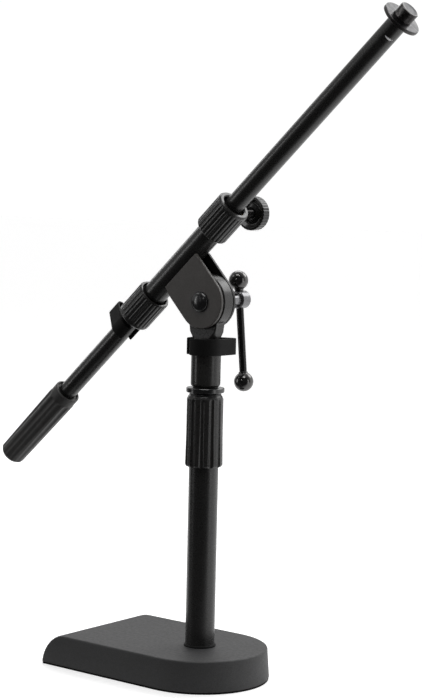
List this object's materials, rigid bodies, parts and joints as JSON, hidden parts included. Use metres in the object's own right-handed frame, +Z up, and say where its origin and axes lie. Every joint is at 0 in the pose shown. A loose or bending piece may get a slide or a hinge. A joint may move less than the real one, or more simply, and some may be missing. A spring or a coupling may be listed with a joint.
{
  "type": "boom microphone stand",
  "caption": "Tabletop microphone stand: weighted D-shaped base, telescopic post with twist clutch, tilting yoke with T-handle, and a sliding boom rod with threaded tip.",
  "frame": {"origin": "the post's axis at floor level, under the rubber pad", "axes": "+Z up the post, +X towards the microphone end of the boom, +Y towards the T-handle and lock knob"},
  "size_m": [0.4249, 0.12, 0.5575],
  "materials": {
    "base_paint": "fine-textured dark grey paint, satin",
    "rubber_black": "matte",
    "zinc_steel": "satin",
    "black_tube": "semi-gloss black powder coat",
    "black_casting": "satin black",
    "plate_black": "satin black-brown",
    "black_plastic": "satin moulded plastic",
    "gloss_black": "gloss",
    "natural_nylon": "matte",
    "fibre": "matte fibre",
    "brass": "turned",
    "inner_steel": "polished",
    "black_steel": "black oxide, satin",
    "stud_steel": "dark plated, satin"
  },
  "bodies": {
    "root": {"base_casting": "base_paint", "base_pad": "rubber_black", "post_bolt": "zinc_steel", "post_washer": "zinc_steel", "post_plug": "zinc_steel", "post_foot_collar": "black_casting", "lower_tube": "black_tube", "clutch_collar": "natural_nylon", "height_collet": "natural_nylon"},
    "height_clutch": {"height_clutch_grip": "black_plastic"},
    "riser_guide": {"riser_guide_bush": "natural_nylon"},
    "riser": {"riser_tube": "inner_steel", "riser_stud": "black_casting", "swivel_casting": "black_casting"},
    "post_clip": {"post_cable_clip": "black_plastic"},
    "boom_yoke": {"near_plate": "plate_black", "far_plate": "plate_black", "friction_washers": "fibre", "pivot_bolt": "black_steel", "handle_washer": "zinc_steel", "boom_sleeve_tube": "black_tube", "front_sleeve": "black_plastic", "lock_nut": "brass", "rear_clutch_collar": "natural_nylon", "rear_collet": "natural_nylon"},
    "handle": {"handle_nut": "stud_steel"},
    "tommy_bar": {"tommy_bar": "black_steel", "tommy_bar_balls": "gloss_black"},
    "rear_clutch": {"rear_clutch_grip": "black_plastic"},
    "rod_clip": {"rod_cable_clip": "black_plastic"},
    "lock_pad": {"pressure_pad": "natural_nylon"},
    "lock_knob": {"lock_screw": "zinc_steel", "lock_knob": "black_plastic"},
    "rod_guide": {"rod_guide_bush": "natural_nylon"},
    "boom_rod": {"boom_rod": "black_tube", "mic_stud": "stud_steel", "rod_end_plug": "rubber_black", "counterweight": "zinc_steel", "boom_grip": "black_plastic"}
  },
  "joints": [
    {"name": "height_clutch_turn", "type": "hinge", "parent": "root", "child": "height_clutch", "pos_m": [0, 0, 0.2134], "axis": [0, 0, 1], "range_deg": [0, 150]},
    {"name": "riser_lift", "type": "slide", "parent": "root", "child": "riser_guide", "axis": [0, 0, 1], "range_m": [0, 0.1]},
    {"name": "riser_turn", "type": "hinge", "parent": "riser_guide", "child": "riser", "pos_m": [0, 0, 0.3], "axis": [0, 0, 1], "continuous": true},
    {"name": "post_clip_turn", "type": "hinge", "parent": "riser", "child": "post_clip", "pos_m": [0, 0, 0.2838], "axis": [0, 0, 1], "continuous": true},
    {"name": "boom_tilt", "type": "hinge", "parent": "riser", "child": "boom_yoke", "pos_m": [0, 0, 0.3213], "axis": [0, 1, 0], "range_deg": [-47.2, 102.8]},
    {"name": "handle_turn", "type": "hinge", "parent": "boom_yoke", "child": "handle", "pos_m": [0, 0, 0.3213], "axis": [0, 1, 0], "range_deg": [-20, 160]},
    {"name": "tommy_bar_slide", "type": "slide", "parent": "handle", "child": "tommy_bar", "axis": [-0.0958, 0, 0.9954], "range_m": [0, 0.0535]},
    {"name": "rear_clutch_turn", "type": "hinge", "parent": "boom_yoke", "child": "rear_clutch", "pos_m": [-0.06821, 0, 0.31401], "axis": [0.7337, 0, 0.6794], "range_deg": [0, 150]},
    {"name": "rod_clip_turn", "type": "hinge", "parent": "boom_yoke", "child": "rod_clip", "pos_m": [-0.08876, 0, 0.29499], "axis": [0.7337, 0, 0.6794], "continuous": true},
    {"name": "lock_screw_travel", "type": "slide", "parent": "boom_yoke", "child": "lock_pad", "axis": [0, 1, 0], "range_m": [0, 0.002]},
    {"name": "lock_knob_turn", "type": "hinge", "parent": "lock_pad", "child": "lock_knob", "pos_m": [0.01874, 0.03, 0.39453], "axis": [0, 1, 0], "range_deg": [0, 720]},
    {"name": "rod_turn", "type": "hinge", "parent": "boom_yoke", "child": "rod_guide", "pos_m": [0.00663, 0, 0.38332], "axis": [0.7337, 0, 0.6794], "continuous": true},
    {"name": "rod_slide", "type": "slide", "parent": "rod_guide", "child": "boom_rod", "axis": [-0.7337, 0, -0.6794], "range_m": [-0.08, 0.2]}
  ],
  "couplings": [
    {"joint": "lock_screw_travel", "follows": "lock_knob_turn", "m_per_rad": 0.000159}
  ]
}
